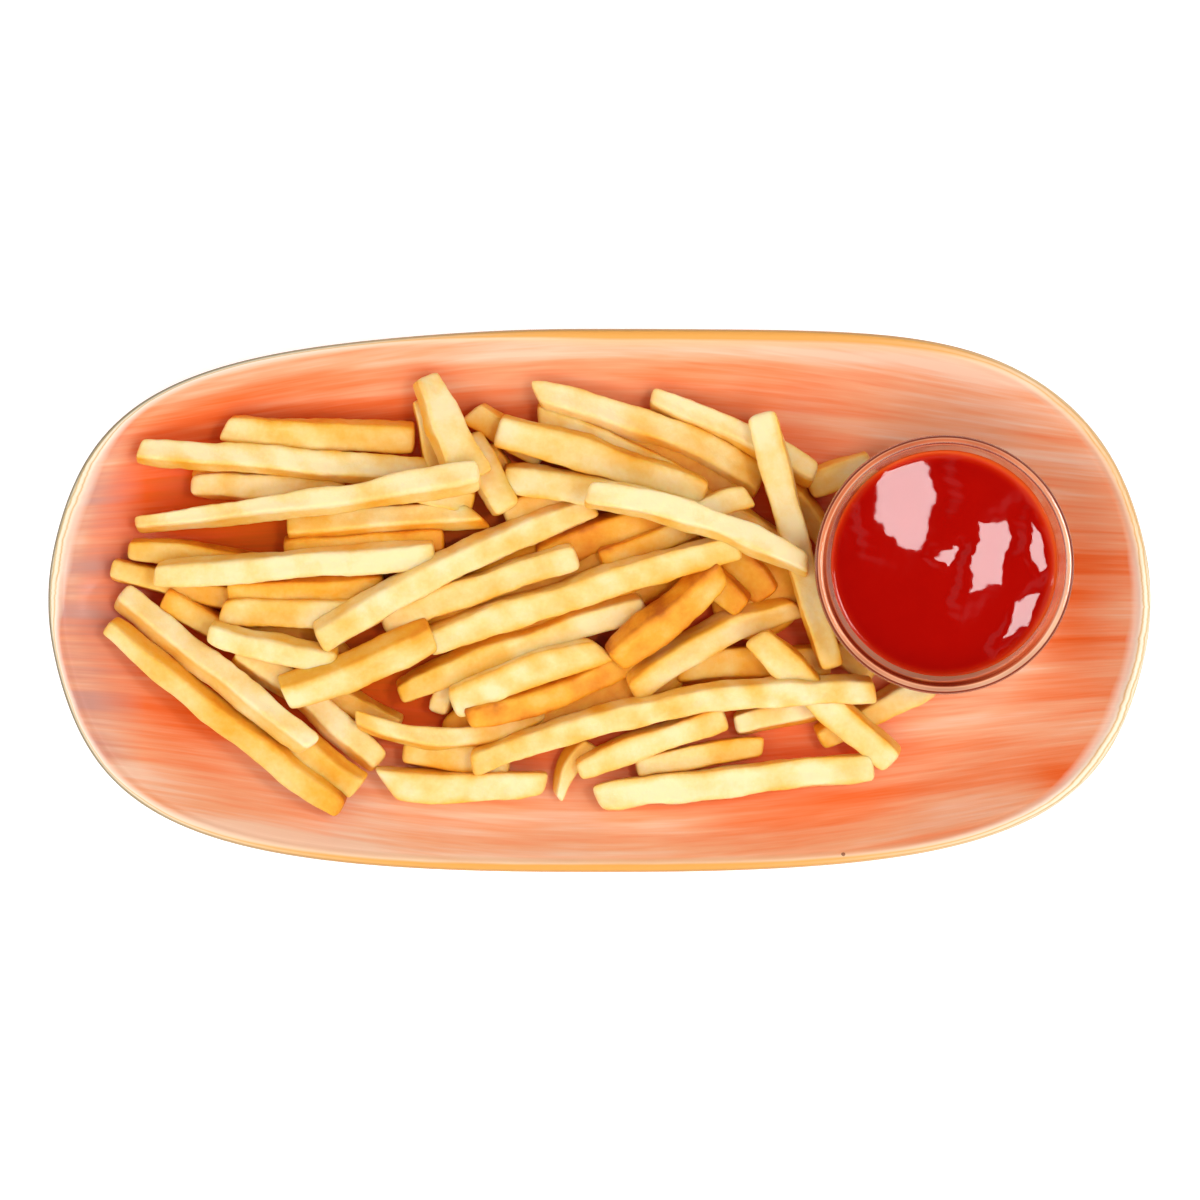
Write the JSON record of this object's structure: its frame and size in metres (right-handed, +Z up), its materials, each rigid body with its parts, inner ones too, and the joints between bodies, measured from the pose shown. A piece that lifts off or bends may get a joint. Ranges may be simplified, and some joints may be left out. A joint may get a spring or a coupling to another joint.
{
  "type": "french fries portion",
  "caption": "Pile of thick-cut french fries on an oval glazed plate with a small glass bowl of ketchup.",
  "frame": {"origin": "middle of the plate's foot, on the surface that it stands on", "axes": "+X along the plate towards the ketchup bowl, +Y across the plate, +Z up"},
  "size_m": [0.3, 0.148, 0.0391],
  "materials": {
    "glaze": "gloss",
    "bowl_glass": "polished",
    "ketchup": "gloss",
    "fries": "satin"
  },
  "bodies": {
    "root": {"plate": "glaze", "sauce_bowl": "bowl_glass", "ketchup": "ketchup", "fries": "fries"}
  },
  "joints": []
}
